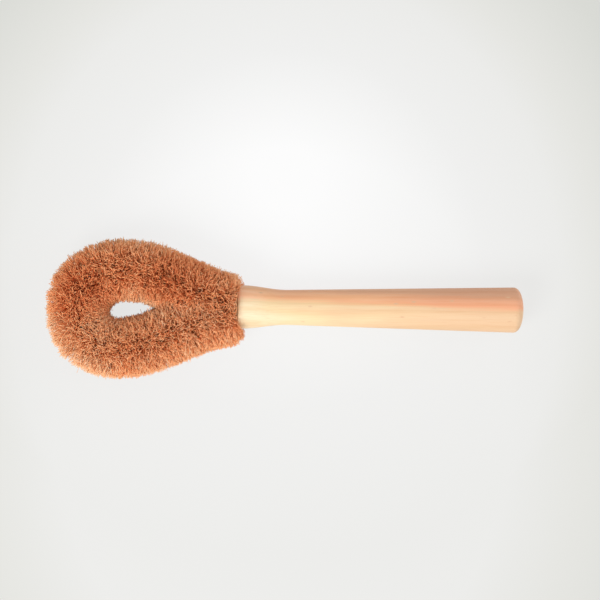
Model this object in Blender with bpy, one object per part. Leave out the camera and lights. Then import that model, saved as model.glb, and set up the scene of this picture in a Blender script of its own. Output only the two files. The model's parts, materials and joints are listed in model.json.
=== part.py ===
"""A coir dish brush: fibres twisted into steel wire, bent to a loop and glued in a turned beech handle.

Lengths are in metres and +Z is up. The brush lies on a flat surface at z = 0 with its butt towards +X.
Its own axes start at the handle's mouth: x runs down the handle to the butt, and the loop lies in the
xy plane on the other side. The stand tilts these axes until the head and the butt both touch the surface.
"""

import math

import bmesh
import bpy
import numpy as np
from mathutils import Matrix, Vector

MM = 0.001

# Clearances
PIECE_GAP = 0.3 * MM  # between pieces that touch on the real brush
CUT_OVERRUN = 1.0 * MM  # a cutter runs this far past the faces that it cuts

# Handle, turned in one piece
HANDLE_LENGTH = 150.0 * MM
MOUTH_FACE_RADIUS = 7.6 * MM
MOUTH_ROUNDING = 3.5 * MM  # along the axis, from the mouth face to the collar
COLLAR_RADIUS = 11.5 * MM
WAIST_RADIUS = 8.9 * MM
WAIST_FROM_MOUTH = 26.0 * MM
GRIP_RADIUS = 11.9 * MM
BUTT_ROUNDING = 4.2 * MM  # along the axis, from the grip to the butt face
BUTT_FACE_RADIUS = 4.5 * MM
MOUTH_CORNER_SHARES = (0.10, 0.70)  # how full the rounding is, along the axis and outwards
BUTT_CORNER_SHARES = (0.14, 0.47)
DRILL_POINT = math.radians(118)
BORE_WALL = 0.8 * MM  # glue outside the wire's legs
BORE_BOTTOM_ROOM = 3.0 * MM  # beyond the ends of the wire
GLUE_RECESS = 1.5 * MM  # the glue stops this far inside the mouth

# Two steel wires twisted together
WIRE_RADIUS = 0.8 * MM
TWIST_PITCH = 10.0 * MM
STEM_DEPTH = 21.0 * MM  # how far each leg goes into the handle
LEG_CLEARANCE = 1.1 * MM  # between the twisted legs where they leave the handle

# The loop that the twisted wire is bent to
LOOP_HALF_WIDTH = 20.2 * MM  # from the wire's centre line to the middle
LEG_LENGTH = 60.0 * MM  # along the axis, from the mouth to the widest place
LOOP_SHOULDER = 4.6 * MM  # straight stretch before the round end
LOOP_DRIFT = 1.6 * MM  # the loop's round end lies this far to one side

# Coir, pinched between the wires and fanned out by their twist
BED_THICKNESS = 0.9 * MM
BED_MARGIN = 0.5 * MM  # the pinched fibres' bed is this much wider than a wire on each side
BED_FROM_MOUTH = 1.0 * MM
BRISTLE_REACH = 16.5 * MM  # from the wire's centre line to the trimmed tips
EYE_RADIUS = 3.7 * MM  # left open in the middle of the round end
MOUTH_SPLAY = 3.4 * MM  # the last bristles lean over the handle's collar by this much
SPLAY_LENGTH = 10.0 * MM
FLOOR_CUT = 0.5 * MM  # bristles end flat where the brush lies on them
BRISTLE_TAPER_SHARE = 0.8  # of the root's size, at the tip
CROWDED_SHARE = 0.55  # of the room between turns that a tip may fill
TRIM_SHARE = 0.07  # by which the cut lengths differ
RAKE_SHARE = 0.22  # of the room between turns, by which tips lean along the wire
SWING_SHARE = 0.2  # of the angle between neighbours, by which they differ round the wire

# Fineness
SECTIONS = 16
STEPS_PER_TURN = 12
WIRE_BEVEL_RESOLUTION = 1  # six sides
LINE_POINTS = 200
HANDLE_SIDES = 36
PLUG_SIDES = 32
LEG_BORE_SIDES = 16
END_POINTS = 4
FLARE_POINTS = 8
TAPER_POINTS = 4
WELD_SHARE = 0.001  # of the piece gap: points closer than this are one point
SMOOTH_ANGLE = math.radians(40)  # edges sharper than this stay sharp
SEED = 11

# Sizes that follow from those above
TIGHT_ORBIT = WIRE_RADIUS + PIECE_GAP / 2
OPEN_ORBIT = BED_THICKNESS / 2 + PIECE_GAP + WIRE_RADIUS
LEG_OFFSET = OPEN_ORBIT + WIRE_RADIUS + LEG_CLEARANCE / 2
LEG_BORE_RADIUS = TIGHT_ORBIT + WIRE_RADIUS + PIECE_GAP
PLUG_RADIUS = LEG_OFFSET + LEG_BORE_RADIUS + BORE_WALL
BORE_RADIUS = PLUG_RADIUS + PIECE_GAP
BORE_DEPTH = STEM_DEPTH + BORE_BOTTOM_ROOM
BED_HALF_WIDTH = WIRE_RADIUS + BED_MARGIN
EYE_FROM_MOUTH = LEG_LENGTH + LOOP_SHOULDER
DRIFT_SLOPE = LOOP_DRIFT / EYE_FROM_MOUTH
MIDDLE_CLEARANCE = PIECE_GAP + BED_THICKNESS / 2
GRIP_END = HANDLE_LENGTH - BUTT_ROUNDING
LEAN = math.atan((BRISTLE_REACH - FLOOR_CUT - GRIP_RADIUS) / (GRIP_END + EYE_FROM_MOUTH + LOOP_HALF_WIDTH))
MOUTH_HEIGHT = GRIP_RADIUS * math.cos(LEAN) + GRIP_END * math.sin(LEAN)
UP = Vector((-math.sin(LEAN), 0, math.cos(LEAN)))  # the surface's upward direction in the brush's own axes


def smoothstep(share):
    return share * share * (3 - 2 * share)


def clear_scene():
    for obj in list(bpy.data.objects):
        bpy.data.objects.remove(obj, do_unlink=True)


def material(name, colour, roughness, metallic=0.0):
    made = bpy.data.materials.new(name)
    made.use_nodes = True
    shader = made.node_tree.nodes["Principled BSDF"]
    shader.inputs["Base Color"].default_value = (*colour, 1.0)
    shader.inputs["Roughness"].default_value = roughness
    shader.inputs["Metallic"].default_value = metallic
    made.diffuse_color = (*colour, 1.0)
    return made


def add_object(name, data, finish, axes):
    obj = bpy.data.objects.new(name, data)
    data.materials.append(finish)
    bpy.context.scene.collection.objects.link(obj)
    obj.parent = axes
    return obj


def mesh_from(bm, name):
    mesh = bpy.data.meshes.new(name)
    bm.to_mesh(mesh)
    bm.free()
    return mesh


def rounded_end(face, edge, shares):
    """Points of (x, radius) on a curve from the end's flat face to its edge, full by shares."""
    corner = face + (edge - face) * np.array(shares)
    t = np.linspace(0, 1, END_POINTS + 1)[:, None]
    return (1 - t) ** 2 * face + 2 * t * (1 - t) * corner + t**2 * edge


def handle_outline():
    """(x, radius) from the point of the bore, out of the mouth and down the outside to the butt's middle."""
    mouth = rounded_end(
        np.array([0, MOUTH_FACE_RADIUS]), np.array([MOUTH_ROUNDING, COLLAR_RADIUS]), MOUTH_CORNER_SHARES
    )
    butt = rounded_end(
        np.array([HANDLE_LENGTH, BUTT_FACE_RADIUS]), np.array([GRIP_END, GRIP_RADIUS]), BUTT_CORNER_SHARES
    )
    down = np.linspace(0, 1, FLARE_POINTS + 1)[1:]
    flare = np.column_stack(
        [
            MOUTH_ROUNDING + (WAIST_FROM_MOUTH - MOUTH_ROUNDING) * down,
            WAIST_RADIUS + (COLLAR_RADIUS - WAIST_RADIUS) * (1 + np.cos(math.pi * down)) / 2,
        ]
    )
    out = np.linspace(0, 1, TAPER_POINTS + 1)[1:-1]
    taper = np.column_stack(
        [
            WAIST_FROM_MOUTH + (GRIP_END - WAIST_FROM_MOUTH) * out,
            WAIST_RADIUS + (GRIP_RADIUS - WAIST_RADIUS) * out,
        ]
    )
    drilled = BORE_DEPTH + BORE_RADIUS / math.tan(DRILL_POINT / 2)
    bore = np.array([[drilled, 0], [BORE_DEPTH, BORE_RADIUS], [0, BORE_RADIUS]])
    return np.concatenate([bore, mouth, flare, taper, butt[::-1], [[HANDLE_LENGTH, 0]]])


def make_handle(finish, axes):
    bm = bmesh.new()
    profile = [bm.verts.new((x, 0, radius)) for x, radius in handle_outline()]
    edges = [bm.edges.new(pair) for pair in zip(profile, profile[1:])]
    bmesh.ops.spin(
        bm,
        geom=profile + edges,
        cent=(0, 0, 0),
        axis=(1, 0, 0),
        angle=2 * math.pi,
        steps=HANDLE_SIDES,
        use_merge=True,
    )
    bmesh.ops.remove_doubles(bm, verts=bm.verts, dist=PIECE_GAP * WELD_SHARE)
    bmesh.ops.recalc_face_normals(bm, faces=bm.faces)
    mesh = mesh_from(bm, "handle")
    mesh.shade_smooth()
    mesh.set_sharp_from_angle(angle=SMOOTH_ANGLE)
    return add_object("handle", mesh, finish, axes)


def rod_along_x(radius, start, end, sides):
    """A bmesh of a round rod that lies along the x axis from start to end."""
    bm = bmesh.new()
    bmesh.ops.create_cone(
        bm,
        cap_ends=True,
        segments=sides,
        radius1=radius,
        radius2=radius,
        depth=end - start,
        matrix=Matrix.Translation(((start + end) / 2, 0, 0)) @ Matrix.Rotation(math.pi / 2, 4, "Y"),
    )
    return bm


def make_glue_plug(finish, axes):
    """The set glue in the bore, with the two holes that the wire's legs leave in it."""
    plug_end = BORE_DEPTH - PIECE_GAP
    mesh = mesh_from(rod_along_x(PLUG_RADIUS, GLUE_RECESS, plug_end, PLUG_SIDES), "glue_plug")
    plug = add_object("glue_plug", mesh, finish, axes)
    for side, letter in ((1, "a"), (-1, "b")):
        bm = rod_along_x(LEG_BORE_RADIUS, GLUE_RECESS - CUT_OVERRUN, plug_end + CUT_OVERRUN, LEG_BORE_SIDES)
        bmesh.ops.translate(bm, vec=(0, side * LEG_OFFSET, 0), verts=bm.verts)
        cutter = add_object(f"leg_cutter_{letter}", mesh_from(bm, "leg_cutter"), finish, axes)
        cutter.hide_render = True
        cutter.display_type = "WIRE"
        cut = plug.modifiers.new(f"leg_hole_{letter}", "BOOLEAN")
        cut.operation = "DIFFERENCE"
        cut.object = cutter
    return plug


class WireLine:
    """The twisted wire's centre line, from the end of one leg in the bore, round the loop, to the other's."""

    def __init__(self):
        share = np.linspace(0, 1, LINE_POINTS)
        level = np.ones(LINE_POINTS)
        quarter = math.pi / 2 * (1 + share)
        widening = (LOOP_HALF_WIDTH - LEG_OFFSET) * smoothstep(share)
        stem = np.column_stack([STEM_DEPTH * (1 - share), LEG_OFFSET * level])
        leg = np.column_stack([-LEG_LENGTH * share, LEG_OFFSET + widening])
        shoulder = np.column_stack([-LEG_LENGTH - LOOP_SHOULDER * share, LOOP_HALF_WIDTH * level])
        end = LOOP_HALF_WIDTH * np.column_stack([np.cos(quarter), np.sin(quarter)]) - [EYE_FROM_MOUTH, 0]
        half = np.concatenate([stem[:-1], leg[:-1], shoulder[:-1], end])
        self.points = np.concatenate([half, half[-2::-1] * [1, -1]])
        self.points[:, 1] += DRIFT_SLOPE * np.minimum(self.points[:, 0], 0)
        runs = np.diff(self.points, axis=0)
        self.along = np.concatenate([[0], np.cumsum(np.hypot(*runs.T))])
        middles = (self.along[1:] + self.along[:-1]) / 2
        self.heading = np.interp(self.along, middles, np.unwrap(np.arctan2(runs[:, 1], runs[:, 0])))
        self.bend = np.gradient(self.heading, self.along)
        self.length = float(self.along[-1])
        self.first = STEM_DEPTH + BED_FROM_MOUTH
        self.last = self.length - self.first
        turns = (self.last - self.first) / TWIST_PITCH
        self.section_steps = round(turns * STEPS_PER_TURN / SECTIONS)
        self.step = (self.last - self.first) / (self.section_steps * SECTIONS)
        self.pitch = self.step * STEPS_PER_TURN

    def centre(self, s):
        return Vector((*(np.interp(s, self.along, column) for column in self.points.T), 0))

    def tangent(self, s):
        heading = np.interp(s, self.along, self.heading)
        return Vector((math.cos(heading), math.sin(heading), 0))

    def inward(self, s):
        tangent = self.tangent(s)
        return Vector((-tangent.y, tangent.x, 0))

    def curvature(self, s):
        return float(np.interp(s, self.along, self.bend))

    def phase(self, s):
        return 2 * math.pi * (s - self.first) / self.pitch

    def outward(self, s, angle):
        """A direction square to the wire, at an angle from the loop's inside towards +z."""
        return math.cos(angle) * self.inward(s) + math.sin(angle) * Vector((0, 0, 1))


def twist_frame(line, s):
    """Axes that turn with the twist: x across the bed, y through it to a wire, z along the line."""
    phase = line.phase(s)
    columns = (line.outward(s, phase), line.outward(s, phase + math.pi / 2), line.tangent(s))
    return Matrix.Translation(line.centre(s)) @ Matrix(columns).transposed().to_4x4()


def make_wire(name, side, line, finish, axes):
    """One wire of the twisted pair. It winds tight in the handle and makes room for the fibres outside it."""
    before = round(line.first / line.step)
    steps = line.section_steps * SECTIONS
    places = [line.first + k * line.step for k in range(1 - before, steps + before)]
    places = [0.0, *places, line.length]
    curve = bpy.data.curves.new(name, "CURVE")
    curve.dimensions = "3D"
    curve.bevel_depth = WIRE_RADIUS
    curve.bevel_resolution = WIRE_BEVEL_RESOLUTION
    curve.use_fill_caps = True
    spline = curve.splines.new("POLY")
    spline.points.add(len(places) - 1)
    for point, s in zip(spline.points, places):
        inside = min(s, line.length - s)
        opened = (inside - STEM_DEPTH + GLUE_RECESS) / (BED_FROM_MOUTH + GLUE_RECESS)
        orbit = TIGHT_ORBIT + (OPEN_ORBIT - TIGHT_ORBIT) * smoothstep(min(max(opened, 0), 1))
        through = line.outward(s, line.phase(s) + math.pi / 2)
        point.co = (*(line.centre(s) + side * orbit * through), 1)
    return add_object(name, curve, finish, axes)


def inner_room(line, s, direction):
    """How long a bristle may be before it meets those of the other leg, or closes the eye."""
    centre = line.centre(s)
    if direction.dot(line.inward(s)) <= 0:
        return math.inf
    if centre.x > -EYE_FROM_MOUTH:
        room = abs(centre.y - DRIFT_SLOPE * min(centre.x, 0)) - MIDDLE_CLEARANCE
        closing = abs(direction.y - DRIFT_SLOPE * direction.x)
    else:
        room = (centre - Vector((-EYE_FROM_MOUTH, -LOOP_DRIFT, 0))).length - EYE_RADIUS
        closing = direction.dot(line.inward(s))
    return BRISTLE_REACH if closing * BRISTLE_REACH < room else room / closing


def bristle_tip(line, s, angle, chance):
    """(middle of the tip, share of the root's size there) for a bristle that leaves the wire at an angle."""
    trim, rake, swing = chance
    angle += swing * SWING_SHARE * 2 * math.pi / STEPS_PER_TURN
    direction = line.outward(s, angle)
    length = min(BRISTLE_REACH * (1 - TRIM_SHARE * abs(trim)), inner_room(line, s, direction))
    between_turns = line.pitch / 2 * (1 - line.curvature(s) * length * math.cos(angle))
    tip = line.centre(s) + length * direction + rake * RAKE_SHARE * between_turns * line.tangent(s)
    from_mouth = min(s - line.first, line.last - s)
    past_collar = (math.hypot(tip.y, tip.z) - COLLAR_RADIUS) / (BRISTLE_REACH + LEG_OFFSET - COLLAR_RADIUS)
    tip.x += MOUTH_SPLAY * max(1 - from_mouth / SPLAY_LENGTH, 0) ** 2 * min(max(past_collar, 0), 1)
    return tip, min(BRISTLE_TAPER_SHARE, CROWDED_SHARE * between_turns / line.step)


def grow_bristle(bm, root, tip, taper):
    """Draws one face of the bed's edge out to a bristle, and cuts it level where the brush lies on it."""
    middle = root.calc_center_median()
    along = (tip - middle).normalized()
    grown = bmesh.ops.extrude_discrete_faces(bm, faces=[root])["faces"][0]
    for vert in grown.verts:
        vert.co = tip + taper * (vert.co - middle)
        height = vert.co.dot(UP) + MOUTH_HEIGHT
        if height < 0:
            vert.co -= along * (height / along.dot(UP))


def edge_faces(front, to_bed):
    """(side of the bed, face just made on that narrow edge), for both edges."""
    found = {}
    for rim in front.edges:
        x = sum((to_bed @ vert.co).x for vert in rim.verts) / 2
        if abs(x) > BED_HALF_WIDTH - BED_THICKNESS / 2:
            found[math.copysign(1, x)] = next(face for face in rim.link_faces if face is not front)
    return sorted(found.items())


def root_half(bm, face, side, back_verts, to_bed):
    """Halves a face of the bed's edge and gives the half that leans away from the next bristle."""
    back = [vert for vert in face.verts if vert in back_verts]
    front = [vert for vert in face.verts if vert not in back_verts]
    kept = min(front, key=lambda vert: side * (to_bed @ vert.co).y)
    across = max(back, key=lambda vert: side * (to_bed @ vert.co).y)
    bmesh.ops.connect_verts(bm, verts=[kept, across])
    return next(half for half in kept.link_faces if set(half.verts) == {kept, *back})


def make_coir_section(number, line, chances, finish, axes):
    """A stretch of coir: the twisted bed that the wires pinch, with a bristle on each step of its edges."""
    first = line.first + number * line.section_steps * line.step
    places = [first + k * line.step for k in range(line.section_steps + 1)]
    places[0] += PIECE_GAP / 2
    places[-1] -= PIECE_GAP / 2
    edge, half = BED_HALF_WIDTH, BED_THICKNESS / 2
    outline = ((-edge, -half), (0, -half), (edge, -half), (edge, half), (0, half), (-edge, half))
    bm = bmesh.new()
    near = twist_frame(line, places[0])
    front = bm.faces.new([bm.verts.new(near @ Vector((x, y, 0))) for x, y in outline])
    for k, (start, end) in enumerate(zip(places, places[1:])):
        back_verts = set(front.verts)
        made = bmesh.ops.extrude_face_region(bm, geom=[front])["geom"]
        if k > 0:
            bmesh.ops.delete(bm, geom=[front], context="FACES_ONLY")
        front = next(item for item in made if isinstance(item, bmesh.types.BMFace))
        far = twist_frame(line, end)
        bmesh.ops.transform(bm, matrix=far @ near.inverted(), verts=front.verts)
        middle = (start + end) / 2
        for (side, face), chance in zip(edge_faces(front, far.inverted()), chances[k]):
            root = root_half(bm, face, side, back_verts, far.inverted())
            angle = line.phase(middle) + (0 if side > 0 else math.pi)
            grow_bristle(bm, root, *bristle_tip(line, middle, angle, chance))
        near = far
    bmesh.ops.recalc_face_normals(bm, faces=bm.faces)
    name = f"coir_bristles_{number + 1:02d}"
    return add_object(name, mesh_from(bm, name), finish, axes)


def lay_down(axes):
    """Tilts the brush until head and butt rest on the surface, with the origin under its middle."""
    axes.rotation_euler = (0, LEAN, 0)
    bpy.context.view_layer.update()
    graph = bpy.context.evaluated_depsgraph_get()
    points = []
    for obj in axes.children:
        if obj.hide_render:
            continue
        evaluated = obj.evaluated_get(graph)
        points += [evaluated.matrix_world @ vert.co for vert in evaluated.to_mesh().vertices]
        evaluated.to_mesh_clear()
    points = np.array(points)
    low, high = points.min(axis=0), points.max(axis=0)
    axes.location = (-(low[0] + high[0]) / 2, -(low[1] + high[1]) / 2, -low[2])


def main():
    clear_scene()
    beech = material("beech", (0.90, 0.64, 0.38), 0.55)
    steel = material("galvanised_wire", (0.62, 0.62, 0.60), 0.35, 1.0)
    glue = material("clear_glue", (0.72, 0.55, 0.28), 0.3)
    coir = material("coir", (0.50, 0.17, 0.08), 0.75)
    axes = bpy.data.objects.new("brush_axes", None)
    bpy.context.scene.collection.objects.link(axes)
    line = WireLine()
    make_handle(beech, axes)
    make_glue_plug(glue, axes)
    make_wire("wire_strand_a", 1, line, steel, axes)
    make_wire("wire_strand_b", -1, line, steel, axes)
    chances = np.random.default_rng(SEED).uniform(-1, 1, (SECTIONS, line.section_steps, 2, 3)).tolist()
    for number in range(SECTIONS):
        make_coir_section(number, line, chances[number], coir, axes)
    lay_down(axes)


main()
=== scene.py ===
"""Looks of the coir dish brush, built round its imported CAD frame.

Every piece is drawn in the brush's own axes, in millimetres: the origin is in the middle of the handle's
mouth, +x runs to the butt, -x to the loop, y lies across the flat of the loop and z is square to it.
seat() then puts the piece where the CAD has it, in metres.
"""

import json
import math
from types import SimpleNamespace

import bmesh
import bpy
import numpy as np
from mathutils import Matrix, Vector


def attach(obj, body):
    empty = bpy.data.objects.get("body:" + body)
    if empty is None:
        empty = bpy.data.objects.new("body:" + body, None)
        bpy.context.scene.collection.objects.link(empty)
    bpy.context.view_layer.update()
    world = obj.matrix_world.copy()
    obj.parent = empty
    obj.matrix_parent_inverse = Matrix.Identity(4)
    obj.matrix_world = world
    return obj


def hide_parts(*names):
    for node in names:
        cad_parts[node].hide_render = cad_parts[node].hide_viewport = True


MM = 0.001

# Turned handle
MOUTH_FACE_RADIUS = 10.0
MOUTH_ROUNDING = 1.8  # along the axis, from the mouth face to the collar
COLLAR_RADIUS = 11.4
WAIST_RADIUS = 9.2
WAIST_FROM_MOUTH = 26.0
GRIP_RADIUS = 11.9
BUTT_ROUNDING = 5.0  # along the axis, from the grip to the butt face
BUTT_FACE_RADIUS = 4.5
BUTT_FULLNESS = 2.2  # 2 is a round corner, more is fuller
MOUTH_CORNER_SHARES = (0.10, 0.85)  # how full the rounding is, along the axis and outwards
BORE_RADIUS = 6.05
BORE_DEPTH = 24.0
BROKEN_EDGE = 0.3  # sandpaper takes this off the edge of the bore
DRILL_POINT = math.radians(118)
HEART_AND_SHADE_EDGE = 3.8  # from the axis to the pinker side, partly heartwood and partly painted shade, beside the mouth
HEART_AND_SHADE_SLANT = 0.03  # how much nearer its edge comes for each millimetre towards the butt
HEART_AND_SHADE_FADE = 8.0  # from its edge to its full colour
HEART_AND_SHADE_FEATHER = 4.0  # how far single fibre lines cross its edge
HEART_AND_SHADE_WANDER = 1.6  # how far its edge wanders on the way
BOARD_TONES = (-0.25, 0.75)  # at the mouth and at the butt; the patches add 0 to 1
SAP_AND_PAINTED_LIGHT_PALER = 0.2  # of the board's tones, on the side away from the heartwood: partly sapwood, partly painted light on that side, which faces the key lamp
HANDLE_SIDES = 144
MOUTH_POINTS = 12
FLARE_POINTS = 32
TAPER_POINTS = 6
BUTT_POINTS = 24
HANDLE_CREASE = math.radians(40)  # an edge is shaded as sharp from here on

# Twisted wire and its loop
WIRE_RADIUS = 0.8
TWIST_PITCH = 10.0  # about: each section has a whole number of twelfths of a turn
TURN_PARTS = 12
STEM_DEPTH = 21.0  # how far each leg goes into the handle
LEG_OFFSET = 2.9  # from the middle of the mouth to each leg
LOOP_HALF_WIDTH = 20.2
LEG_LENGTH = 60.0
LOOP_SHOULDER = 4.6  # straight, between each leg and the half circle
LOOP_DRIFT = 1.6  # towards -y, at the middle of the half circle
TIGHT_ORBIT = 0.95  # from the line to each wire, where nothing is between them
OPEN_ORBIT = 1.55  # the same, round the pinched fibres
FIBRES_FROM_MOUTH = 1.0
GLUE_RECESS = 1.5  # from the mouth to the glue
LINE_POINTS = 200  # in each stretch of the line
STEPS_PER_TURN = 24
WIRE_BEVEL_RESOLUTION = 4  # twelve sides
WIRE_CREASE = math.radians(60)
EYE_FROM_MOUTH = LEG_LENGTH + LOOP_SHOULDER
DRIFT_SLOPE = LOOP_DRIFT / EYE_FROM_MOUTH

# Coir
SECTIONS = 16
TUFTS = 430  # in one section
FIBRES_PER_TUFT = 6
FIBRE_RADIUS = 0.2
THICKNESS_SHARES = (0.7, 1.3)  # of that radius, in the thinnest and the thickest fibre
TIP_SHARE = 0.75  # of the fibre's radius, at its tip
RING_SHARES = (0.03, 0.24, 0.40, 0.54, 0.67, 0.79, 0.90, 1.0)  # of a fibre's length
ROOT_SPREAD = 0.35  # of a tuft's fibres, along the wire
PINCH_HALF = 0.45  # half the thickness of the bed between the wires
PINCH_EDGE = 1.4  # from the line to where the fibres leave the wires

# How the fibres stand, and how far they stray
TUFT_SWING = math.radians(60)  # round the wire
MOST_SWING = math.radians(100)  # a fibre that would go past this stands anywhere within it
TUFT_RAKE = 1.3  # along the wire, at the tips
RAKE_AT_MOUTH = 0.3  # of the rake, in the fibres nearest the mouth
FIBRE_STRAY = 0.42  # from its tuft, at the tips
WILD_SHARE = 0.1  # of the fibres, that stray four times as far
WILD_TIMES = 4.0

# How long they are
BRISTLE_REACH = 16.7
TRIM_SPREAD = 0.35  # how unevenly the shears cut the tips
LONG_SHARE = 0.02  # of the fibres, that the shears missed
LONG_EXTRA = 1.3
SHORT_SHARE = 0.3  # of the tufts, that are broken off and fill the space round the wire
SHORT_LENGTHS = (0.4, 0.88)
NECK_TRIMS = (6.8, 5.0)  # the fibres nearest the mouth are cut this much shorter, on each leg
NECK_TRIM_LENGTH = 4.5  # from the mouth
END_CROWD = 0.6  # the end fibres fill this much of the gap before the mouth

# What the shears took off the fibres that point out of the loop and into it. Each pair is a distance along
# the wire from the loop's far end, below zero on the +y side, and what is off there.
OUTER_TRIM = (
    (-84, 1.0), (-70, 0.6), (-60, 0.4), (-50, 0.2), (-44, 0.7), (-34, 0.4),
    (-21, 1.5), (-12, 0.7), (-6, 0.2), (0, 1.8), (5, 0.4), (9, 0.7),
    (14, 0.1), (21, 0.8), (26, 0.4), (34, 0.2), (60, 0.3), (75, 0.0),
)
INNER_TRIM = (
    (-56, 0.4), (-51, 1.6), (-48, 0.3), (-43, 0.1), (-38, -0.3), (-34, -0.1),
    (-27, -1.4), (-5, -1.6), (3, -1.2), (10, 0.2), (22, 0.1), (30, 1.0),
    (33, 1.9), (36, 1.5), (39.5, 0.8), (43, 2.8), (46, 0.4), (51, 1.5), (56, 0.9),
)

# How they curl and wave: the fibres that lie flat a little, and those that stand up or down by that much more
CURL = 0.4
CURL_ABOVE = 2.8
CURL_MIX = 0.7  # a tuft's curl and a fibre's own count alike
CURL_POWER = 2.5  # of the share of the length: a curl is mostly near the tip
WAVE = 0.36
WAVE_ABOVE = 0.34
TUFT_WAVES = (0.3, 1.7)  # of that wave, in one tuft and another
FIBRE_WAVES = (0.7, 1.3)  # of the tuft's wave, in each fibre
WAVE_POWER = 0.7  # of the share of the length: a wave starts soon after the root
WAVE_COUNTS = (1.2, 2.8)  # on the way to the tip
WAVE_COUNT_SPREAD = 0.15  # among a tuft's fibres
WAVE_LAG_SPREAD = 0.5  # the same, in radians
DROOP = 2.5  # fibres that stand at a slant sag this far towards the flat, at their tips

# How pale they are, from 0 to 1 along the coir's colours
MEAN_TONE = 0.61
PAINTED_SHADE_ABOVE = 0.14  # painted shade, in the fibres that stand up or down, where the pile's gaps are deep
TUFT_TONE = 0.12  # how much the tufts differ
FIBRE_TONE = 0.07  # how much a tuft's fibres differ

# How much paler the fibres are that point out of the loop, up or down, and into it: partly husks that differ,
# partly painted light and shade along the loop. Each pair starts with the same distance as for the shears.
OUTER_TONE = (
    (-84, 0.0), (-72, -0.2), (-60, -0.06), (-50, 0.08), (-28, 0.05), (-12, -0.08),
    (8, 0.18), (22, 0.2), (34, 0.0), (60, -0.04), (84, -0.12),
)
CROWN_TONE = (
    (-84, 0.0), (-72, -0.16), (-58, -0.24), (-48, -0.04), (-24, 0.0), (-12, -0.3),
    (2, -0.06), (24, 0.18), (36, 0.04), (60, 0.02), (72, 0.1),
)
INNER_TONE = (
    (-76, 0.0), (-58, 0.12), (-46, 0.1), (-28, -0.26), (-18, -0.3),
    (0, -0.14), (10, 0.1), (22, 0.14), (34, -0.08), (60, 0.12),
)

# What bends the fibres aside
INTERLEAVE = 0.8  # of the way to the other leg's wire, that a fibre may push in
LEAST_ROOM = 0.3  # where that way is short or none
MOUTH_SPLAY = 4.2  # fibres at the mouth's two sides lean over the collar by this much
SPLAY_ABOVE = 0.3  # of that lean, in the fibres that stand up or down
SPLAY_POWER = 1.5  # of the share of the length
SPLAY_HOLDS = (0.55, 1.1)  # of the splay: how far over the collar one fibre or another may be
SPLAY_LENGTH = 10.0  # from the mouth
SPLAY_FROM_AXIS = 12.0  # seen from above, the lean is full from here outwards
SPLAY_SIDE_POWER = 4  # how late it becomes so
MOUTH_EDGE_POWER = 3  # the curve by which the fibres follow the mouth's rounding
MOUTH_GAP = 0.3
MOUTH_SOFTNESS = 1.0  # a fibre slows down over this before it stops
NECK_SHIFT = 1.1  # the fibres at the neck are pressed this far to one side
NECK_SHIFT_LENGTH = 20.0  # from the mouth
FLOOR_SOFTNESS = 0.6  # the same, above the floor

# A fibre's strip in its map
STRIP_HALF = 0.012  # half its width
STRIP_MARGIN = 0.04  # below the root and above the tip
STRIP_POINT = 0.03  # how far the two caps reach into the margin

SEED = 5
MERGE_WITHIN = 0.001  # points that are nearer to each other are one

# Studio, in metres
FLOOR_RADIUS = 2.0
FLOOR_SIDES = 96
PAPER_GLOW = 0.88  # how much of the paper's own colour the camera sees whatever falls on it
PAPER_EDGE = "D9DAD5"
PAINTED_LIGHT_POOLS = (  # a pool of light painted on the paper round the brush: each pool's place, radii, most and share
    ((0, -0.06, 0), (0.32, 0.38, 0.3), 0.62, 0.75),
    ((0, 0.07, 0), (0.2, 0.2, 0.3), 1.0, 0.4),
)
ROOM_LIGHT = 0.54  # from all round, where 1 is white
LAMPS = (  # each one's name, size, power and place
    ("key", 0.8, 14.8, (-0.70, -0.70, 1.04)),
    ("fill", 0.9, 4.0, (1.1, 0.15, 0.45)),
)

# Photograph, and the camera that looks as it does
PHOTO_SIZE = 600  # pixels across
MM_PER_PIXEL = 0.5254
MOUTH_PIXEL = (237.5, 306.8)  # the middle of the handle's mouth
PHOTO_SLOPE = 0.012  # the handle falls this much to the right
LENS = 135.0
SENSOR = 36.0


def linear(code):
    """An sRGB hex value as linear red, green, blue and 1."""
    values = [int(code[k : k + 2], 16) / 255 for k in (0, 2, 4)]
    return (*[v / 12.92 if v <= 0.04045 else ((v + 0.055) / 1.055) ** 2.4 for v in values], 1.0)


def smoothstep(share):
    return share * share * (3 - 2 * share)


def add_node(tree, kind, inputs=None, stops=None, **settings):
    """Adds a node with its settings and colour stops. Its inputs are values or other nodes' outputs."""
    node = tree.nodes.new(kind)
    for name, value in settings.items():
        setattr(node, name, value)
    for name, value in (inputs or {}).items():
        if isinstance(value, bpy.types.NodeSocket):
            tree.links.new(value, node.inputs[name])
        else:
            node.inputs[name].default_value = value
    if stops:
        elements = node.color_ramp.elements
        while len(elements) < len(stops):
            elements.new(0.5)
        for element, (place, code) in zip(elements, stops):
            element.position = place
            element.color = linear(code)
    return node


def new_material(name):
    """(material, its node tree, its output node), with nothing in it yet."""
    material = bpy.data.materials.new(name)
    material.use_nodes = True
    tree = material.node_tree
    tree.nodes.clear()
    return material, tree, tree.nodes.new("ShaderNodeOutputMaterial")


MIX_A, MIX_B, MIX_RESULT = 6, 7, 2  # the colour sockets of a Mix node


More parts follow.
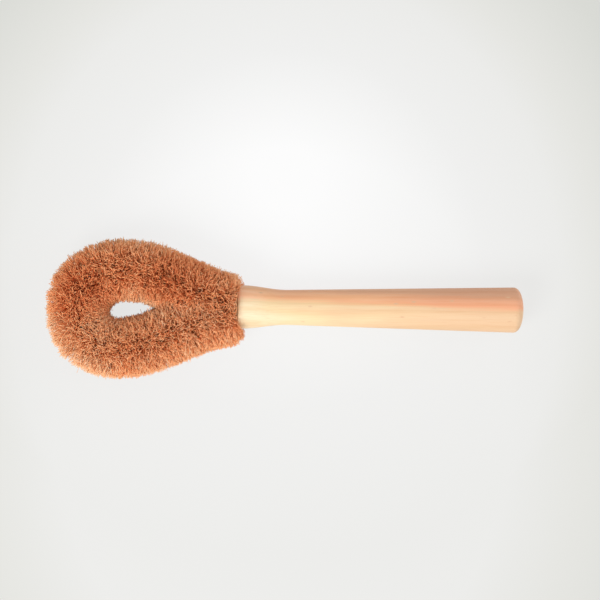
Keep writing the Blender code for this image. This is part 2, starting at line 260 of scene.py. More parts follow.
def sanded_beech():
    """Beech, turned and sanded, with no finish: pale and matt, with faint straight grain and a pinker side
    that is partly painted shade.

    Its patterns are drawn in millimetres along the brush's own axes.
    """
    material, tree, output = new_material("sanded_beech")
    place = add_node(tree, "ShaderNodeTexCoord").outputs["Object"]
    brush = {"Vector": place, "Location": MOUTH, "Rotation": (0, LEAN, 0), "Scale": (MM, MM, MM)}
    along = add_node(tree, "ShaderNodeMapping", brush, vector_type="TEXTURE").outputs[0]

    # Growth rings lie a few millimetres apart and run almost the whole length of the handle, so their pattern
    # is slowed along it. At a scale of 1 the wave texture has a band for each twentieth of tau.
    ring_spacing = 4.2
    slowed = 0.03
    board_turn = math.radians(24)
    stretched = {"Vector": along, "Rotation": (board_turn, 0, 0), "Scale": (slowed, 1, 1)}
    waves = {
        "Vector": add_node(tree, "ShaderNodeMapping", stretched).outputs[0],
        "Scale": math.tau / (20 * ring_spacing),
        "Distortion": 6.0,
        "Detail": 3.0,
        "Detail Scale": 1.2,
    }
    rings = add_node(tree, "ShaderNodeTexWave", waves, bands_direction="Y").outputs["Fac"]

    # Fibre lines are fine across the grain and long with it.
    line_length, line_spacing = 20, 0.6
    fine = {"Vector": along, "Scale": (1 / line_length, 1 / line_spacing, 1 / line_spacing)}
    lines_at = add_node(tree, "ShaderNodeMapping", fine).outputs[0]
    lines = {"Vector": lines_at, "Scale": 1.0, "Detail": 3.0}
    lines = add_node(tree, "ShaderNodeTexNoise", lines).outputs["Fac"]

    # Ray flecks are thin faint spindles about 3 mm long, far apart.
    fleck_along, fleck_across = 11, 4
    spindle = {"Vector": along, "Scale": (1 / fleck_along, 1 / fleck_across, 1 / fleck_across)}
    flecks_at = add_node(tree, "ShaderNodeMapping", spindle).outputs[0]
    cells = add_node(tree, "ShaderNodeTexVoronoi", {"Vector": flecks_at, "Scale": 1.0, "Randomness": 1.0})
    fleck_edge = {"Value": cells.outputs["Distance"], "From Min": 0.04, "From Max": 0.16}
    not_fleck = add_node(tree, "ShaderNodeMapRange", fleck_edge).outputs[0]

    # The board is creamy at the head's end, turns pinker and a little darker towards the butt, and has broad
    # patches. It is palest on the side away from the heartwood, partly as sapwood and partly as painted light
    # there.
    patch_length, patch_width = 60, 9
    broad = {"Vector": along, "Scale": (1 / patch_length, 1 / patch_width, 1 / patch_width)}
    patches_at = add_node(tree, "ShaderNodeMapping", broad).outputs[0]
    patches = {"Vector": patches_at, "Scale": 1.0, "Detail": 2.0}
    patches = add_node(tree, "ShaderNodeTexNoise", patches).outputs["Fac"]
    spot = add_node(tree, "ShaderNodeSeparateXYZ", {"Vector": along})
    to_butt = {"Value": spot.outputs["X"], "From Min": 0.0, "From Max": HANDLE_LENGTH}
    to_butt["To Min"], to_butt["To Max"] = BOARD_TONES
    pinker = add_node(tree, "ShaderNodeMapRange", to_butt).outputs[0]
    to_heart_and_shade = {"Value": spot.outputs["Y"], "From Min": -GRIP_RADIUS, "From Max": 0.0}
    to_heart_and_shade["To Min"], to_heart_and_shade["To Max"] = -SAP_AND_PAINTED_LIGHT_PALER, 0.0
    paler = add_node(tree, "ShaderNodeMapRange", to_heart_and_shade).outputs[0]
    pinker = add_node(tree, "ShaderNodeMath", {0: pinker, 1: paler}, operation="ADD").outputs[0]
    mottled = add_node(tree, "ShaderNodeMath", {0: pinker, 1: patches}, operation="ADD").outputs[0]
    colour = add_node(
        tree,
        "ShaderNodeValToRGB",
        {"Fac": mottled},
        stops=((0.1, "FFE6C2"), (0.3, "FFE0B7"), (0.4, "FDDBAD"), (0.65, "F7CEA4"), (1.0, "F3C69F")),
    ).outputs[0]

    # One side is pinker: partly heartwood, partly painted shade on the side away from the key lamp. Its edge
    # crosses the handle at a slant, from +y by the mouth to -y by the butt, and is uneven and feathered along
    # the fibre lines.
    slant = {0: spot.outputs["X"], 1: HEART_AND_SHADE_SLANT, 2: spot.outputs["Y"]}
    depth = add_node(tree, "ShaderNodeMath", slant, operation="MULTIPLY_ADD").outputs[0]
    uneven = {0: patches, 1: HEART_AND_SHADE_WANDER, 2: depth}
    uneven = add_node(tree, "ShaderNodeMath", uneven, operation="MULTIPLY_ADD").outputs[0]
    feathered = {0: lines, 1: HEART_AND_SHADE_FEATHER, 2: uneven}
    feathered = add_node(tree, "ShaderNodeMath", feathered, operation="MULTIPLY_ADD").outputs[0]
    edge = HEART_AND_SHADE_EDGE + HEART_AND_SHADE_FEATHER / 2
    heart_and_painted_shade = {"Value": feathered, "From Min": edge, "From Max": edge + HEART_AND_SHADE_FADE}
    heart_and_painted_shade = add_node(tree, "ShaderNodeMapRange", heart_and_painted_shade).outputs[0]

    # The first tint carries the pinker side's painted shade along with its heartwood, and painted light on
    # the other side.
    tints = (
        (heart_and_painted_shade, ((0.0, "F7FFFF"), (0.12, "FBF3ED"), (0.3, "FFE2DA"), (0.7, "FBE3DF"), (1.0, "ECDDDD"))),
        (rings, ((0.0, "FFFFFF"), (0.6, "FFFCFA"), (1.0, "FBF5EF"))),
        (lines, ((0.3, "FBF5F0"), (0.55, "FFFFFF"))),
    )
    for pattern, stops in tints:
        tint = add_node(tree, "ShaderNodeValToRGB", {"Fac": pattern}, stops=stops).outputs[0]
        layers = {0: 1.0, MIX_A: colour, MIX_B: tint}
        tinted = add_node(tree, "ShaderNodeMix", layers, data_type="RGBA", blend_type="MULTIPLY")
        colour = tinted.outputs[MIX_RESULT]
    flecked = {0: not_fleck, MIX_A: linear("E2B690"), MIX_B: colour}
    colour = add_node(tree, "ShaderNodeMix", flecked, data_type="RGBA").outputs[MIX_RESULT]

    sheen = {"Value": lines, "To Min": 0.52, "To Max": 0.66}
    roughness = add_node(tree, "ShaderNodeMapRange", sheen).outputs[0]
    rise = {"Height": lines, "Strength": 0.12, "Distance": 0.1 * MM}
    bump = add_node(tree, "ShaderNodeBump", rise).outputs[0]
    surface = {"Base Color": colour, "Roughness": roughness, "Normal": bump, "IOR": 1.5}
    wood = add_node(tree, "ShaderNodeBsdfPrincipled", surface)
    tree.links.new(wood.outputs[0], output.inputs["Surface"])
    return material


def galvanised_steel():
    """Steel wire, drawn and hot-dip galvanised: a dull grey metal with faint zinc crystals."""
    material, tree, output = new_material("galvanised_steel")
    place = add_node(tree, "ShaderNodeTexCoord").outputs["Object"]
    crystal, scratch = 1.5 * MM, 0.4 * MM
    cells = add_node(tree, "ShaderNodeTexVoronoi", {"Vector": place, "Scale": 1 / crystal})
    spangle = add_node(
        tree,
        "ShaderNodeValToRGB",
        {"Fac": cells.outputs["Color"]},
        stops=((0.0, "A9ACAE"), (1.0, "C4C6C6")),
    ).outputs[0]
    dull = {"Vector": place, "Scale": 1 / scratch, "Detail": 3.0}
    dull = add_node(tree, "ShaderNodeTexNoise", dull).outputs["Fac"]
    sheen = {"Value": dull, "To Min": 0.32, "To Max": 0.52}
    roughness = add_node(tree, "ShaderNodeMapRange", sheen).outputs[0]
    rise = {"Height": dull, "Strength": 0.15, "Distance": 0.02 * MM}
    bump = add_node(tree, "ShaderNodeBump", rise).outputs[0]
    surface = {"Base Color": spangle, "Metallic": 1.0, "Roughness": roughness, "Normal": bump}
    metal = add_node(tree, "ShaderNodeBsdfPrincipled", surface)
    tree.links.new(metal.outputs[0], output.inputs["Surface"])
    return material


def set_glue():
    """Wood glue, poured and set: amber and glossy, with a slightly wavy skin."""
    material, tree, output = new_material("set_glue")
    place = add_node(tree, "ShaderNodeTexCoord").outputs["Object"]
    wave_length = 3 * MM
    wave = add_node(tree, "ShaderNodeTexNoise", {"Vector": place, "Scale": 1 / wave_length, "Detail": 2.0})
    colour = add_node(
        tree,
        "ShaderNodeValToRGB",
        {"Fac": wave.outputs["Fac"]},
        stops=((0.3, "B4863F"), (0.7, "D2A862")),
    ).outputs[0]
    rise = {"Height": wave.outputs["Fac"], "Strength": 0.3, "Distance": 0.3 * MM}
    bump = add_node(tree, "ShaderNodeBump", rise).outputs[0]
    surface = {"Base Color": colour, "Roughness": 0.22, "Normal": bump, "IOR": 1.47}
    glue = add_node(tree, "ShaderNodeBsdfPrincipled", surface)
    tree.links.new(glue.outputs[0], output.inputs["Surface"])
    return material


def coir_fibre():
    """Coir, combed and trimmed: coarse red-brown husk fibre, dull, each hair with its own tone.

    The map that the fibres bring has a fibre's tone across it, and its root to tip up it. The roots are
    darker and more saturated, as painted shade deep in the pile, and the tips paler, as painted light.
    """
    material, tree, output = new_material("coir_fibre")
    strip = add_node(tree, "ShaderNodeUVMap", uv_map="OFBake").outputs[0]
    sides = add_node(tree, "ShaderNodeSeparateXYZ", {"Vector": strip})
    tip = add_node(
        tree,
        "ShaderNodeValToRGB",
        {"Fac": sides.outputs["X"]},
        stops=((0.0, "DC7C46"), (0.25, "F4985E"), (0.5, "FFB278"), (0.85, "FFCEA0"), (1.0, "FFDCBA")),
    ).outputs[0]
    root = add_node(
        tree,
        "ShaderNodeValToRGB",
        {"Fac": sides.outputs["X"]},
        stops=((0.0, "DC6418"), (0.5, "FC8434"), (1.0, "FF9C50")),
    ).outputs[0]
    # Painted shade towards the roots, painted light at the tips.
    rise = {"Value": sides.outputs["Y"], "From Min": 0.1, "From Max": 0.75}
    share = add_node(tree, "ShaderNodeMapRange", rise, interpolation_type="SMOOTHSTEP").outputs[0]
    colour = add_node(
        tree,
        "ShaderNodeMix",
        {0: share, MIX_A: root, MIX_B: tip},
        data_type="RGBA",
    ).outputs[MIX_RESULT]
    surface = {"Base Color": colour, "Roughness": 0.62, "IOR": 1.5}
    fibre = add_node(tree, "ShaderNodeBsdfPrincipled", surface)
    tree.links.new(fibre.outputs[0], output.inputs["Surface"])
    return material


def backdrop_paper():
    """Matt studio paper, near white, with a pool of light painted into its colour round the brush."""
    material, tree, output = new_material("backdrop_paper")
    place = add_node(tree, "ShaderNodeTexCoord").outputs["Object"]
    bright = 0.0
    for middle, radii, most, share in PAINTED_LIGHT_POOLS:
        pool = {"Vector": place, "Location": middle, "Scale": radii}
        spread = add_node(tree, "ShaderNodeMapping", pool, vector_type="TEXTURE").outputs[0]
        ball = add_node(tree, "ShaderNodeTexGradient", {"Vector": spread}, gradient_type="SPHERICAL")
        fade = {0: ball.outputs["Fac"], 1: most}
        fade = add_node(tree, "ShaderNodeMath", fade, operation="MINIMUM").outputs[0]
        bright = {0: fade, 1: share, 2: bright}
        bright = add_node(tree, "ShaderNodeMath", bright, operation="MULTIPLY_ADD").outputs[0]
    # The pools' painted light runs the paper from its edge colour to near white.
    colour = add_node(
        tree,
        "ShaderNodeValToRGB",
        {"Fac": bright},
        stops=((0.21, PAPER_EDGE), (0.375, "E5E5E1"), (0.465, "EBEBE9"), (0.62, "EFEFEE"), (0.83, "FBFBFB")),
    ).outputs[0]
    paper = add_node(tree, "ShaderNodeBsdfDiffuse", {"Color": colour})
    glow = add_node(tree, "ShaderNodeEmission", {"Color": colour, "Strength": 1.0})
    rays = add_node(tree, "ShaderNodeLightPath")
    seen = {0: rays.outputs["Is Camera Ray"], 1: rays.outputs["Is Glossy Ray"]}
    direct = add_node(tree, "ShaderNodeMath", seen, operation="MAXIMUM").outputs[0]
    part = add_node(tree, "ShaderNodeMath", {0: direct, 1: PAPER_GLOW}, operation="MULTIPLY").outputs[0]
    mixed = add_node(tree, "ShaderNodeMixShader", {0: part, 1: paper.outputs[0], 2: glow.outputs[0]})
    tree.links.new(mixed.outputs[0], output.inputs["Surface"])
    return material


def seat(obj, node, material):
    """Puts a piece drawn in the brush's axes where the CAD has it, in place of its node."""
    obj.data.transform(TO_FRAME)
    obj.data.materials.clear()
    obj.data.materials.append(material)
    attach(obj, "root")
    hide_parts(node)


def new_piece(name, data):
    obj = bpy.data.objects.new(name, data)
    bpy.context.scene.collection.objects.link(obj)
    return obj


def as_mesh(obj):
    """The mesh that an object shows, with its modifiers or its bevel made real. The object goes."""
    bpy.context.view_layer.update()
    shown = obj.evaluated_get(bpy.context.evaluated_depsgraph_get())
    mesh = bpy.data.meshes.new_from_object(shown)
    mesh.name = obj.name
    data = obj.data
    bpy.data.objects.remove(obj)
    if isinstance(data, bpy.types.Mesh):
        bpy.data.meshes.remove(data)
    else:
        bpy.data.curves.remove(data)
    return mesh


def bow(start, end, shares, count):
    """Points of a rounding from start to end, drawn towards a corner between them."""
    start, end = Vector(start), Vector(end)
    corner = Vector(a + (b - a) * share for a, b, share in zip(start, end, shares))
    steps = [k / count for k in range(count + 1)]
    return [start * (1 - t) ** 2 + corner * (2 * t * (1 - t)) + end * t * t for t in steps]


def butt_corner(grip_end):
    """Points of the butt's corner, a full round that runs on from the grip to the small face."""
    power = 1 / BUTT_FULLNESS
    face = (1 - (BUTT_FACE_RADIUS / GRIP_RADIUS) ** BUTT_FULLNESS) ** power
    last = math.acos(face ** (BUTT_FULLNESS / 2))
    corner = []
    for k in range(BUTT_POINTS + 1):
        turn = math.pi / 2 + (last - math.pi / 2) * k / BUTT_POINTS
        along = BUTT_ROUNDING / face * max(math.cos(turn), 0) ** (2 * power)
        corner.append((grip_end + along, GRIP_RADIUS * math.sin(turn) ** (2 * power)))
    return corner


def handle_profile():
    """The handle's half section, as (x, radius) from the bottom of the bore, out, round and to the butt."""
    bore = [
        (BORE_DEPTH + BORE_RADIUS / math.tan(DRILL_POINT / 2), 0),
        (BORE_DEPTH, BORE_RADIUS),
        (BROKEN_EDGE, BORE_RADIUS),
        (0, BORE_RADIUS + BROKEN_EDGE),
    ]
    mouth = bow((0, MOUTH_FACE_RADIUS), (MOUTH_ROUNDING, COLLAR_RADIUS), MOUTH_CORNER_SHARES, MOUTH_POINTS)
    flare = []
    for k in range(1, FLARE_POINTS + 1):
        share = k / FLARE_POINTS
        swell = (1 + math.cos(math.pi * share)) / 2
        x = MOUTH_ROUNDING + (WAIST_FROM_MOUTH - MOUTH_ROUNDING) * share
        flare.append((x, WAIST_RADIUS + (COLLAR_RADIUS - WAIST_RADIUS) * swell))
    grip_end = HANDLE_LENGTH - BUTT_ROUNDING
    taper = []
    for k in range(1, TAPER_POINTS):
        share = k / TAPER_POINTS
        x = WAIST_FROM_MOUTH + (grip_end - WAIST_FROM_MOUTH) * share
        taper.append((x, WAIST_RADIUS + (GRIP_RADIUS - WAIST_RADIUS) * share))
    return [*bore, *mouth, *flare, *taper, *butt_corner(grip_end), (HANDLE_LENGTH, 0)]


def make_handle():
    bm = bmesh.new()
    verts = [bm.verts.new((x, radius, 0)) for x, radius in handle_profile()]
    edges = [bm.edges.new(pair) for pair in zip(verts, verts[1:])]
    bmesh.ops.spin(
        bm,
        geom=verts + edges,
        cent=(0, 0, 0),
        axis=(1, 0, 0),
        angle=math.tau,
        steps=HANDLE_SIDES,
        use_merge=True,
    )
    bmesh.ops.remove_doubles(bm, verts=bm.verts, dist=MERGE_WITHIN)
    bmesh.ops.recalc_face_normals(bm, faces=bm.faces)
    mesh = bpy.data.meshes.new("turned_handle")
    bm.to_mesh(mesh)
    bm.free()
    mesh.shade_smooth()
    mesh.set_sharp_from_angle(angle=HANDLE_CREASE)
    return new_piece("turned_handle", mesh)


class WireLine:
    """The twisted wire's centre line, from the end of one leg in the bore, round the loop, to the other's."""

    def __init__(self):
        share = np.linspace(0, 1, LINE_POINTS)
        level = np.ones(LINE_POINTS)
        quarter = math.pi / 2 * (1 + share)
        widening = (LOOP_HALF_WIDTH - LEG_OFFSET) * smoothstep(share)
        stem = np.column_stack([STEM_DEPTH * (1 - share), LEG_OFFSET * level])
        leg = np.column_stack([-LEG_LENGTH * share, LEG_OFFSET + widening])
        shoulder = np.column_stack([-LEG_LENGTH - LOOP_SHOULDER * share, LOOP_HALF_WIDTH * level])
        end = LOOP_HALF_WIDTH * np.column_stack([np.cos(quarter), np.sin(quarter)]) - [EYE_FROM_MOUTH, 0]
        half = np.concatenate([stem[:-1], leg[:-1], shoulder[:-1], end])
        self.points = np.concatenate([half, half[-2::-1] * [1, -1]])
        self.points[:, 1] += DRIFT_SLOPE * np.minimum(self.points[:, 0], 0)
        runs = np.diff(self.points, axis=0)
        self.along = np.concatenate([[0], np.cumsum(np.hypot(*runs.T))])
        middles = (self.along[1:] + self.along[:-1]) / 2
        self.heading = np.interp(self.along, middles, np.unwrap(np.arctan2(runs[:, 1], runs[:, 0])))
        self.length = float(self.along[-1])
        self.first = STEM_DEPTH + FIBRES_FROM_MOUTH
        self.last = self.length - self.first
        covered = self.last - self.first
        turns = round(covered / TWIST_PITCH * TURN_PARTS / SECTIONS) * SECTIONS / TURN_PARTS
        self.pitch = covered / turns
        self.section = covered / SECTIONS

    def centre(self, places):
        columns = [np.interp(places, self.along, column) for column in self.points.T]
        return np.stack([*columns, np.zeros_like(places)], axis=-1)

    def tangent(self, places):
        heading = np.interp(places, self.along, self.heading)
        return np.stack([np.cos(heading), np.sin(heading), np.zeros_like(places)], axis=-1)

    def phase(self, places):
        return math.tau * (places - self.first) / self.pitch

    def outward(self, places, angle):
        """Directions square to the wire, at an angle from the loop's inside towards +z."""
        heading = np.interp(places, self.along, self.heading)
        across = np.cos(angle)
        return np.stack([-np.sin(heading) * across, np.cos(heading) * across, np.sin(angle)], axis=-1)


def make_wire(name, side, line):
    """One wire of the twisted pair: tight in the handle, and wider where the fibres lie between the two."""
    step = line.pitch / STEPS_PER_TURN
    places = np.linspace(0, line.length, round(line.length / step))
    inside = np.minimum(places, line.length - places)
    opened = np.clip((inside - STEM_DEPTH + GLUE_RECESS) / (FIBRES_FROM_MOUTH + GLUE_RECESS), 0, 1)
    orbit = TIGHT_ORBIT + (OPEN_ORBIT - TIGHT_ORBIT) * smoothstep(opened)
    through = line.outward(places, line.phase(places) + math.pi / 2)
    points = line.centre(places) + side * orbit[:, None] * through
    curve = bpy.data.curves.new(name, "CURVE")
    curve.dimensions = "3D"
    curve.bevel_depth = WIRE_RADIUS
    curve.bevel_resolution = WIRE_BEVEL_RESOLUTION
    curve.use_fill_caps = True
    spline = curve.splines.new("POLY")
    spline.points.add(len(points) - 1)
    for point, place in zip(spline.points, points.tolist()):
        point.co = (*place, 1)
    mesh = as_mesh(new_piece(name, curve))
    bm = bmesh.new()
    bm.from_mesh(mesh)
    bmesh.ops.remove_doubles(bm, verts=bm.verts, dist=MERGE_WITHIN)
    bmesh.ops.recalc_face_normals(bm, faces=bm.faces)
    bm.to_mesh(mesh)
    bm.free()
    mesh.shade_smooth()
    mesh.set_sharp_from_angle(angle=WIRE_CREASE)
    return new_piece(name, mesh)


def straight_fibre():
    """A closed three-sided hair: z counts its rings, and x and y lie on a circle of radius 1.

    Its map is one strip, from the root up to the tip, and each cap is a small triangle past the strip's end.
    """
    bm = bmesh.new()
    bmesh.ops.create_circle(bm, cap_ends=True, segments=3, radius=1.0)
    front = bm.faces[:][0]
    for k in range(len(RING_SHARES) - 1):
        made = bmesh.ops.extrude_face_region(bm, geom=[front])["geom"]
        if k > 0:
            bmesh.ops.delete(bm, geom=[front], context="FACES_ONLY")
        front = next(item for item in made if isinstance(item, bmesh.types.BMFace))
        bmesh.ops.translate(bm, vec=(0, 0, 1), verts=front.verts)
    bmesh.ops.recalc_face_normals(bm, faces=bm.faces)
    strip = bm.loops.layers.uv.new("OFBake")
    for face in bm.faces:
        corners = sorted({tuple(round(c, 3) for c in vert.co.xy) for vert in face.verts})
        for loop in face.loops:
            rank = corners.index(tuple(round(c, 3) for c in loop.vert.co.xy))
            across = 2 * rank / (len(corners) - 1) - 1
            up = STRIP_MARGIN + (1 - 2 * STRIP_MARGIN) * RING_SHARES[round(loop.vert.co.z)]
            if len(corners) == 3 and rank == 1:
                up += STRIP_POINT if loop.vert.co.z > 0 else -STRIP_POINT
            loop[strip].uv = (STRIP_HALF * across, up)
    mesh = bpy.data.meshes.new("straight_fibre")
    bm.to_mesh(mesh)
    bm.free()
    mesh.shade_smooth()
    return mesh


def unit(vectors):
    return vectors / np.linalg.norm(vectors, axis=-1, keepdims=True)


def keep_from_other_leg(points):
    """Fibres of the two legs push in between each other, but not as far as the other leg's wire."""
    x, y = points[..., 0], points[..., 1] - DRIFT_SLOPE * np.minimum(points[..., 0], 0)
    home = np.sign(y[:, :1])
    share = np.clip(-x / LEG_LENGTH, 0, 1)
    wire = LEG_OFFSET + (LOOP_HALF_WIDTH - LEG_OFFSET) * smoothstep(share)
    room = np.maximum(INTERLEAVE * (wire - OPEN_ORBIT - WIRE_RADIUS), LEAST_ROOM)
    past = -y * home
    pushed = np.where(past > 0, room * np.tanh(past / room), past)
    on_leg = x > -EYE_FROM_MOUTH
    points[..., 1] += np.where(on_leg, (past - pushed) * home, 0)


def keep_from_handle(points, hold):
    """Fibres next to the mouth bend past its edge, and lean over the collar only at the mouth's two sides."""
    x = points[..., 0]
    out = np.hypot(points[..., 1], points[..., 2])
    edge = np.clip((out - MOUTH_FACE_RADIUS) / (COLLAR_RADIUS - MOUTH_FACE_RADIUS), 0, 1)
    wood = np.where(out > COLLAR_RADIUS, math.inf, MOUTH_ROUNDING * edge**MOUTH_EDGE_POWER)
    side = np.clip(np.abs(points[..., 1]) / SPLAY_FROM_AXIS, 0, 1)
    most = np.minimum(wood, MOUTH_SPLAY * side**SPLAY_SIDE_POWER * hold[:, None]) - MOUTH_GAP
    slowed = most - MOUTH_SOFTNESS
    held = slowed + MOUTH_SOFTNESS * np.tanh((x - slowed) / MOUTH_SOFTNESS)
    points[..., 0] = np.where(x > slowed, held, x)


def keep_on_floor(points, radii):
    """Fibres under the brush bend where it lies on the floor."""
    lift = FLOOR_SOFTNESS
    height = MOUTH.z / MM + points[..., 0] * math.sin(-LEAN) + points[..., 2] * math.cos(LEAN) - radii
    pressed = np.where(height < lift, lift * np.exp(np.minimum(height / lift - 1, 0)), height)
    points[..., 2] += (pressed - height) / math.cos(LEAN)


def at_place(table, from_end):
    """What a table of pairs says at each distance along the wire from the loop's far end."""
    return np.interp(from_end, *np.transpose(table))


def draw_fibres(line, number, rng):
    """What each fibre of one section gets by lot: root and stance, length, bend, thickness and tone."""
    tufts = (TUFTS, 1)
    every = (TUFTS, FIBRES_PER_TUFT)
    start = line.first + number * line.section - (END_CROWD if number == 0 else 0)
    end = line.first + (number + 1) * line.section + (END_CROWD if number == SECTIONS - 1 else 0)
    root = start + (end - start) * rng.random(tufts) + rng.normal(0, ROOT_SPREAD, every)
    root = np.clip(root, start, end)
    from_end = root - line.length / 2
    from_mouth = np.maximum(np.minimum(root - line.first, line.last - root), 0)

    # Each tuft leaves the pair of wires at one of its two seams, and its fibres stray from it.
    bed = line.phase(root) + np.where(rng.random(tufts) < 0.5, 0, math.pi)
    swing = TUFT_SWING * rng.normal(0, 1, tufts)
    rake = TUFT_RAKE * rng.normal(0, 1, tufts)
    stray = np.where(rng.random(every) < WILD_SHARE, WILD_TIMES, 1.0) * FIBRE_STRAY
    swing = swing + stray * rng.normal(0, 1, every) / BRISTLE_REACH
    rake = (rake + stray * rng.normal(0, 1, every)) * np.clip(RAKE_AT_MOUTH + from_mouth / SPLAY_LENGTH, 0, 1)
    swing = np.where(np.abs(swing) > MOST_SWING, MOST_SWING * rng.uniform(-1, 1, every), swing)
    inward = np.cos(bed + swing)
    above = 1 - inward**2

    reach = BRISTLE_REACH + TRIM_SPREAD * rng.normal(0, 1, every)
    reach = reach + LONG_EXTRA * rng.random(every) * (rng.random(every) < LONG_SHARE)
    broken = rng.random(tufts) < SHORT_SHARE
    reach = reach * np.where(broken, rng.uniform(*SHORT_LENGTHS, every), 1)
    neck_trim = np.where(root < line.length / 2, *NECK_TRIMS)
    reach = reach - neck_trim * np.maximum(1 - from_mouth / NECK_TRIM_LENGTH, 0) ** 2
    trim = np.where(inward > 0, at_place(INNER_TRIM, from_end), at_place(OUTER_TRIM, from_end))
    reach = reach - trim * np.abs(inward)

    hold = rng.uniform(*SPLAY_HOLDS, every)
    curl = CURL_MIX * rng.normal(0, 1, (*tufts, 2)) + CURL_MIX * rng.normal(0, 1, (*every, 2))
    curl = curl * (CURL + CURL_ABOVE * above[..., None])
    height = (WAVE + WAVE_ABOVE * above) * rng.uniform(*TUFT_WAVES, tufts) * rng.uniform(*FIBRE_WAVES, every)
    waves = rng.uniform(*WAVE_COUNTS, tufts) + WAVE_COUNT_SPREAD * rng.normal(0, 1, every)
    lag = rng.uniform(0, math.tau, (*tufts, 2)) + WAVE_LAG_SPREAD * rng.normal(0, 1, (*every, 2))

    thick = FIBRE_RADIUS * rng.uniform(*THICKNESS_SHARES, every)
    # Fibres that stand up or down get painted shade.
    tone = MEAN_TONE - PAINTED_SHADE_ABOVE * above
    tone = tone + TUFT_TONE * rng.normal(0, 1, tufts) + FIBRE_TONE * rng.normal(0, 1, every)
    # These tables are partly husks that differ and partly painted light and shade along the loop.
    paler = np.where(inward > 0, at_place(INNER_TONE, from_end), at_place(OUTER_TONE, from_end))
    tone = tone + paler * np.abs(inward) + at_place(CROWN_TONE, from_end) * above
    drawn = {
        "root": root,
        "from_mouth": from_mouth,
        "bed": bed,
        "swing": swing,
        "rake": rake,
        "reach": reach,
        "hold": hold,
        "curl": curl,
        "height": height,
        "waves": waves,
        "lag": lag,
        "thick": thick,
        "tone": np.clip(tone, 0, 1),
        "pinch": PINCH_HALF * rng.uniform(-1, 1, every),
    }
    return SimpleNamespace(**{name: value.reshape(-1, *value.shape[2:]) for name, value in drawn.items()})


def coir_paths(line, drawn):
    """Where drawn fibres run, (fibre, ring, xyz), with two directions across each, and their radii."""
    stance = drawn.bed + drawn.swing
    tangent = line.tangent(drawn.root)
    leaving = line.outward(drawn.root, drawn.bed)
    aside = line.outward(drawn.root, drawn.bed + math.pi / 2)
    pointing = line.outward(drawn.root, stance)
    across = np.cross(tangent, pointing)

    # A fibre leaves its bed straight, turns to its own direction at the wires' edge, and bends on from there.
    shares = np.array(RING_SHARES)[None, :, None]
    length = drawn.reach[:, None, None]
    turned = np.clip((shares * length - PINCH_EDGE) / (length - PINCH_EDGE), 0, 1)
    out = leaving[:, None] * np.minimum(shares * length, PINCH_EDGE)
    out = out + aside[:, None] * (drawn.pinch[:, None, None] * np.ones_like(shares))
    out = out + pointing[:, None] * (turned * (length - PINCH_EDGE))
    out = out + tangent[:, None] * (drawn.rake[:, None, None] * turned)
    bend = drawn.curl[:, None, :] * turned**CURL_POWER
    bend[..., 0] -= DROOP * np.sin(2 * stance)[:, None] * turned[..., 0] ** 2
    phase = math.tau * drawn.waves[:, None, None] * shares + drawn.lag[:, None, :]
    bend = bend + drawn.height[:, None, None] * np.sin(phase) * turned**WAVE_POWER
    points = line.centre(drawn.root)[:, None] + out + across[:, None] * bend[..., :1]
    points = points + tangent[:, None] * bend[..., 1:]

    # The fibres by the mouth lean over the collar, and the whole neck is pressed to one side.
    flat = np.cos(stance) ** 2
    lean = MOUTH_SPLAY * np.maximum(1 - drawn.from_mouth / SPLAY_LENGTH, 0) ** 2
    lean = lean * (SPLAY_ABOVE + (1 - SPLAY_ABOVE) * flat)
    points[..., 0] += lean[:, None] * turned[..., 0] ** SPLAY_POWER
    at_neck = smoothstep(np.clip(1 + points[..., 0] / NECK_SHIFT_LENGTH, 0, 1))
    points[..., 1] -= NECK_SHIFT * at_neck * turned[..., 0]

    radii = drawn.thick[:, None] * (1 - (1 - TIP_SHARE) * shares[..., 0] ** 2)
    keep_from_other_leg(points)
    keep_from_handle(points, drawn.hold)
    keep_on_floor(points, radii)
    main = unit(points[:, -1] - points[:, 1])
    first = unit(np.cross(main, tangent))
    second = np.cross(main, first)
    return points, first, second, radii


def make_coir(number, line, hair):
    """One section of coir: the straight fibre, arrayed, with each copy bent to its own path and toned."""
    name = f"coir_{number + 1:02d}"
    drawn = draw_fibres(line, number, np.random.default_rng((SEED, number)))
    points, first, second, radii = coir_paths(line, drawn)
    count = len(points)
    carrier = new_piece(name, hair.copy())
    array = carrier.modifiers.new("copies", "ARRAY")
    array.use_relative_offset = False
    array.count = count
    mesh = as_mesh(carrier)

    place = np.empty(len(mesh.vertices) * 3)
    mesh.vertices.foreach_get("co", place)
    place = place.reshape(count, -1, 3)
    ring = np.rint(place[0, :, 2]).astype(int)
    around = first[:, None] * place[..., :1] + second[:, None] * place[..., 1:2]
    bent = points[:, ring] + radii[:, ring, None] * around
    mesh.vertices.foreach_set("co", bent.ravel())

    strip = mesh.uv_layers["OFBake"].uv
    uv = np.empty(len(strip) * 2)
    strip.foreach_get("vector", uv)
    uv = uv.reshape(count, -1, 2)
    uv[..., 0] += 2 * STRIP_HALF + (1 - 4 * STRIP_HALF) * drawn.tone[:, None]
    strip.foreach_set("vector", uv.ravel())
    mesh.update()
    return new_piece(name, mesh)


def make_floor():
    bm = bmesh.new()
    bmesh.ops.create_circle(bm, cap_ends=True, segments=FLOOR_SIDES, radius=FLOOR_RADIUS)
    mesh = bpy.data.meshes.new("floor")
    bm.to_mesh(mesh)
    bm.free()
    mesh.materials.append(backdrop_paper())
    new_piece("floor", mesh)


def add_lamp(name, size, power, place):
    """A soft round lamp at a place, turned to face the brush."""
    data = bpy.data.lights.new(name, "AREA")
    data.shape = "DISK"
    data.size = size
    data.energy = power
    lamp = new_piece(name, data)
    lamp.location = place
    lamp.rotation_euler = (-Vector(place)).to_track_quat("-Z", "Y").to_euler()


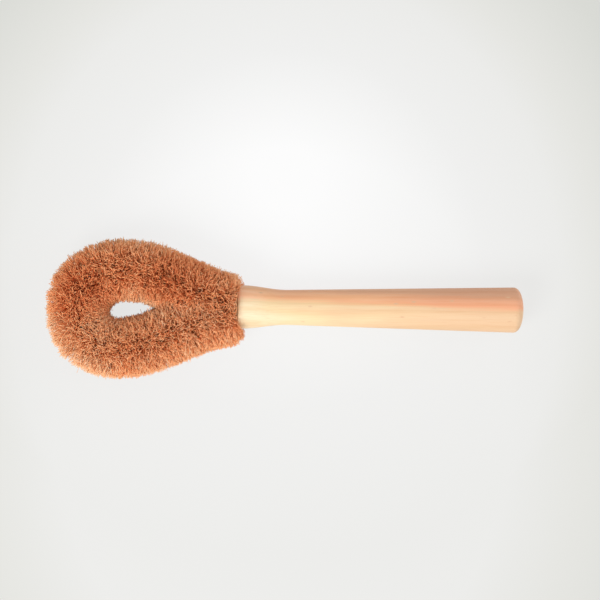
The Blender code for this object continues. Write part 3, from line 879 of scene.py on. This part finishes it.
def light_the_scene():
    world = bpy.data.worlds.new("studio")
    world.use_nodes = True
    tree = world.node_tree
    tree.nodes.clear()
    light = add_node(tree, "ShaderNodeBackground", {"Color": (1, 1, 1, 1), "Strength": ROOM_LIGHT})
    wall = add_node(tree, "ShaderNodeBackground", {"Color": linear(PAPER_EDGE), "Strength": 1.0})
    rays = add_node(tree, "ShaderNodeLightPath")
    seen = {0: rays.outputs["Is Camera Ray"], 1: rays.outputs["Is Glossy Ray"]}
    direct = add_node(tree, "ShaderNodeMath", seen, operation="MAXIMUM").outputs[0]
    mixed = add_node(tree, "ShaderNodeMixShader", {0: direct, 1: light.outputs[0], 2: wall.outputs[0]})
    output = tree.nodes.new("ShaderNodeOutputWorld")
    tree.links.new(mixed.outputs[0], output.inputs["Surface"])
    bpy.context.scene.world = world
    for lamp in LAMPS:
        add_lamp(*lamp)


def place_camera():
    """Looks straight down at the flat of the loop, as the photograph does."""
    width = PHOTO_SIZE * MM_PER_PIXEL * MM
    data = bpy.data.cameras.new("camera")
    data.lens = LENS
    data.sensor_width = SENSOR
    camera = new_piece("camera", data)
    right = (PHOTO_SIZE / 2 - MOUTH_PIXEL[0]) * MM_PER_PIXEL * MM
    up = (MOUTH_PIXEL[1] - PHOTO_SIZE / 2) * MM_PER_PIXEL * MM
    turn = Matrix.Rotation(PHOTO_SLOPE, 4, "Z")
    camera.location = MOUTH + turn @ Vector((right, up, width * LENS / SENSOR))
    camera.rotation_euler = (0, 0, PHOTO_SLOPE)
    bpy.context.scene.camera = camera


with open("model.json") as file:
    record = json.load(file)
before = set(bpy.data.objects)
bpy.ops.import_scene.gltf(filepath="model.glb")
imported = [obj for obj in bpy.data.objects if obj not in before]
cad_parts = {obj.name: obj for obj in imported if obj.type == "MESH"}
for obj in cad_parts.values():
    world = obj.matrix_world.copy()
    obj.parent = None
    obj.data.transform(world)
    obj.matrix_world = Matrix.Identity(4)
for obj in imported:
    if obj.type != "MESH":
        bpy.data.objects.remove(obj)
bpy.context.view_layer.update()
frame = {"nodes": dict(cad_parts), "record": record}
butt = next(mount for mount in frame["record"]["mounts"] if mount["name"] == "butt_face")
ALONG = Vector(butt["axis"])
BUTT = Vector(butt["pos_m"])
HANDLE_LENGTH = max((BUTT - vert.co).dot(ALONG) for vert in frame["nodes"]["handle"].data.vertices) / MM
MOUTH = BUTT - ALONG * HANDLE_LENGTH * MM
LEAN = math.asin(-ALONG.z)
TO_FRAME = Matrix.Translation(MOUTH) @ Matrix.Rotation(LEAN, 4, "Y") @ Matrix.Scale(MM, 4)

bpy.context.scene.view_settings.view_transform = "Standard"
place_camera()
light_the_scene()
make_floor()

seat(make_handle(), "handle", sanded_beech())
wire_line = WireLine()
steel = galvanised_steel()
seat(make_wire("wire_a", 1, wire_line), "wire_strand_a", steel)
seat(make_wire("wire_b", -1, wire_line), "wire_strand_b", steel)
glue = frame["nodes"]["glue_plug"]
glue.material_slots[0].material = set_glue()
coir = coir_fibre()
straight = straight_fibre()
for section in range(SECTIONS):
    seat(make_coir(section, wire_line, straight), f"coir_bristles_{section + 1:02d}", coir)
